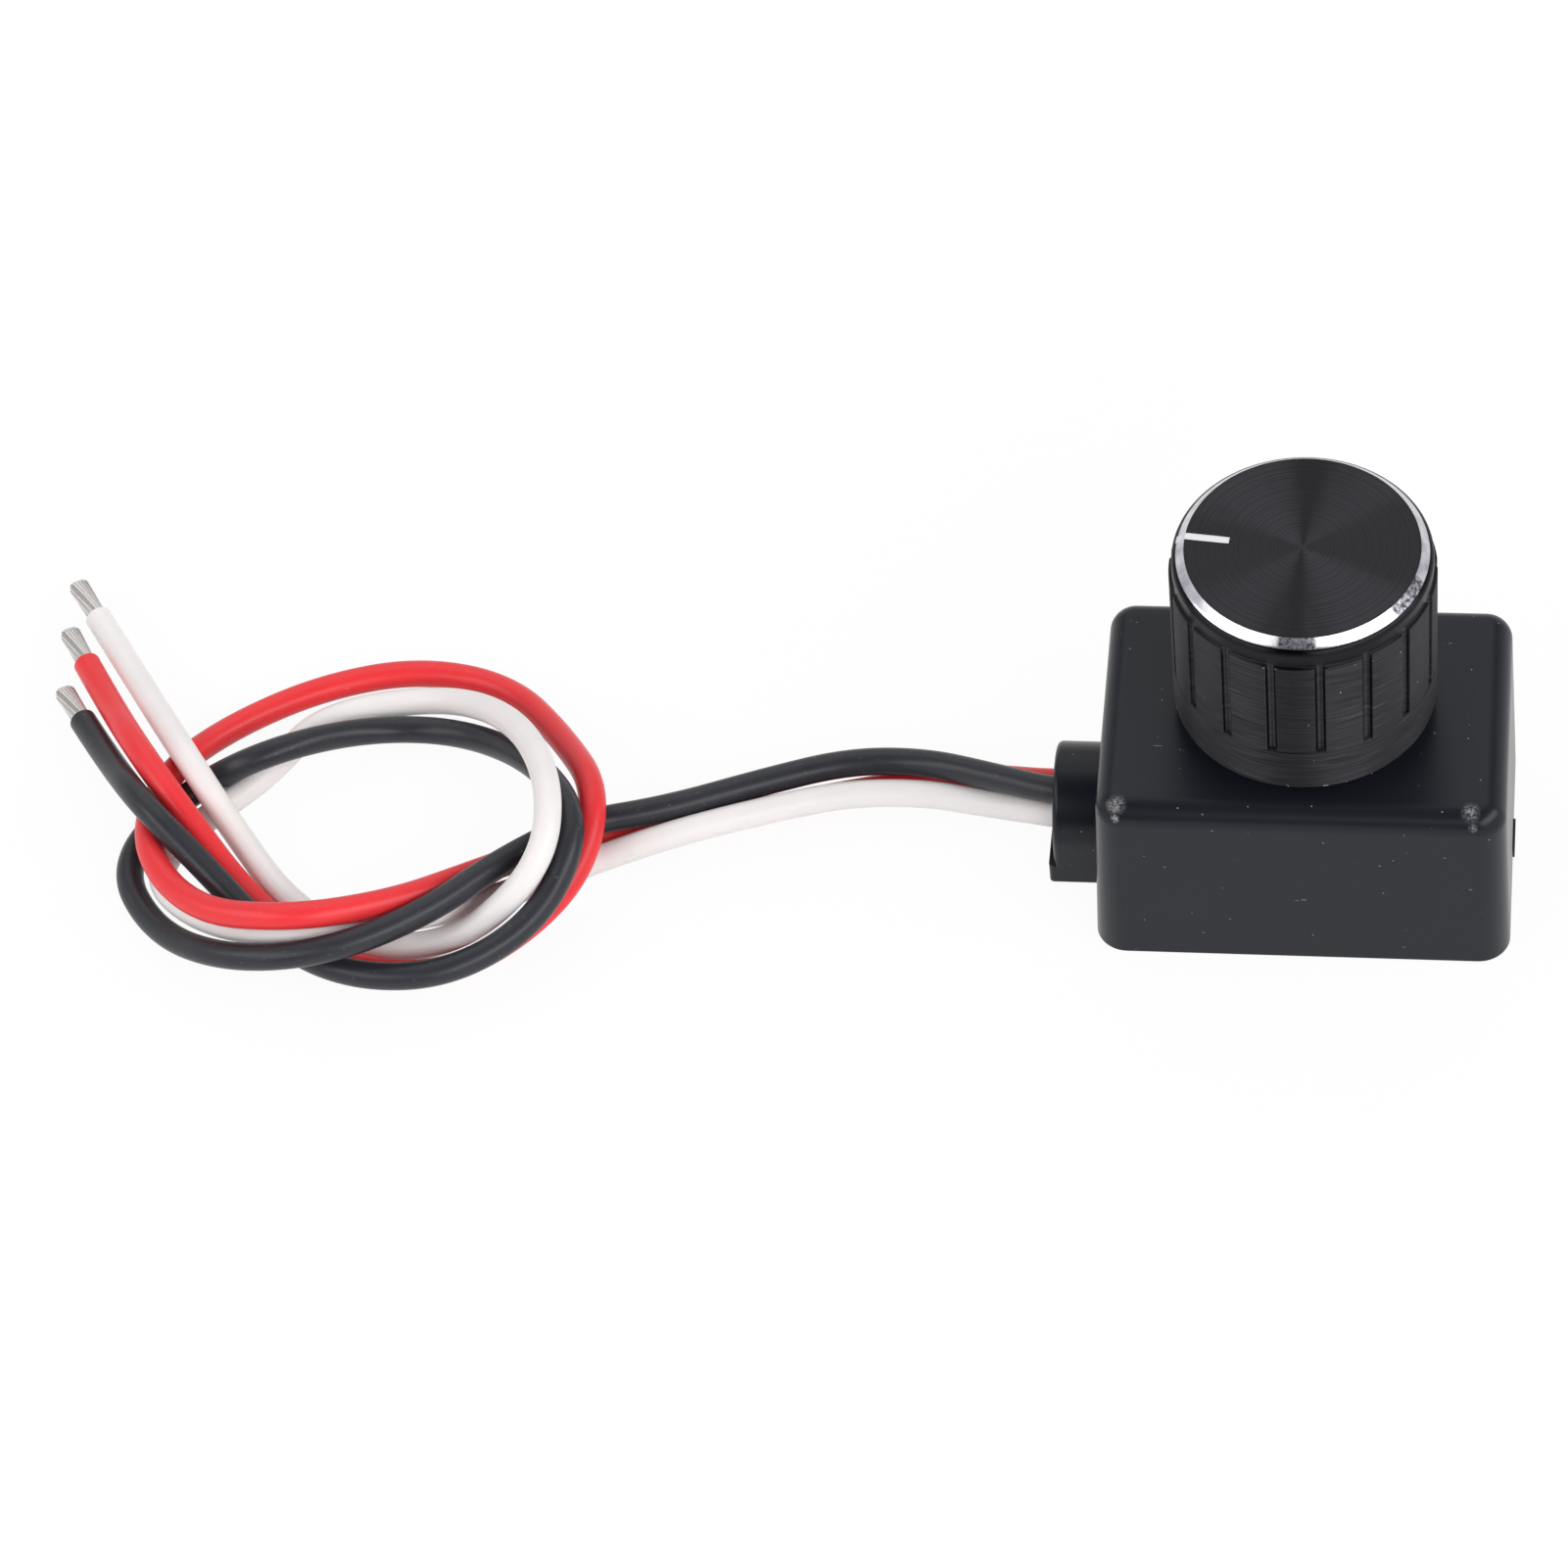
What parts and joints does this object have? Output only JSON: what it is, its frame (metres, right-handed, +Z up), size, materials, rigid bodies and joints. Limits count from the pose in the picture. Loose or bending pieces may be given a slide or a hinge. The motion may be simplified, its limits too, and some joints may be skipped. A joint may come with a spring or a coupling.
{
  "type": "rotary led dimmer",
  "caption": "Small in-line rotary LED dimmer: black moulded box with an arched cable outlet, ribbed black metal knob, and silicone leads tied in a loose knot with bare tinned ends.",
  "frame": {"origin": "centre of the box's underside, at the level it lies on", "axes": "+Z up along the knob's axis, -Y towards the front long side, -X towards the cable outlet"},
  "size_m": [0.1253, 0.0437, 0.0363],
  "materials": {
    "box_plastic": "satin moulded black",
    "knob_aluminium": "black anodised, brushed, with a bright cut edge",
    "knob_plastic": "moulded black",
    "pot_metal": "nickel plated",
    "pot_resin": "moulded dark brown",
    "pot_carbon": "printed carbon on a wafer",
    "spring_brass": "rolled strip",
    "board_laminate": "green solder mask",
    "chip_resin": "moulded black",
    "chip_ceramic": "glazed",
    "capacitor_can": "sleeved",
    "solder": "bright",
    "tinned_copper": "tinned strands",
    "black_silicone": "satin",
    "red_silicone": "satin",
    "white_silicone": "satin"
  },
  "bodies": {
    "housing": {"black_core": "tinned_copper", "black_tip": "tinned_copper", "black_wire": "black_silicone", "bottom_cover": "box_plastic", "capacitor": "capacitor_can", "chip_resistors": "chip_ceramic", "circuit_board": "board_laminate", "control_chip": "chip_resin", "diode": "chip_resin", "housing_shell": "box_plastic", "mosfet": "chip_resin", "pot_base": "pot_resin", "pot_bushing": "pot_metal", "pot_lugs": "pot_metal", "pot_nut": "pot_metal", "pot_terminals": "spring_brass", "pot_track": "pot_carbon", "pot_washer": "pot_metal", "red_core": "tinned_copper", "red_tip": "tinned_copper", "red_wire": "red_silicone", "solder_joints": "solder", "white_core": "tinned_copper", "white_tip": "tinned_copper", "white_wire": "white_silicone"},
    "knob": {"knob_cap": "knob_aluminium", "knob_core": "knob_plastic", "pot_shaft": "pot_metal", "pot_rotor": "pot_resin", "pot_wiper": "spring_brass"}
  },
  "joints": [
    {"name": "knob_turn", "type": "hinge", "parent": "housing", "child": "knob", "pos_m": [0, 0.0008, 0.0193], "axis": [0, 0, 1], "range_deg": [-234, 66]}
  ]
}
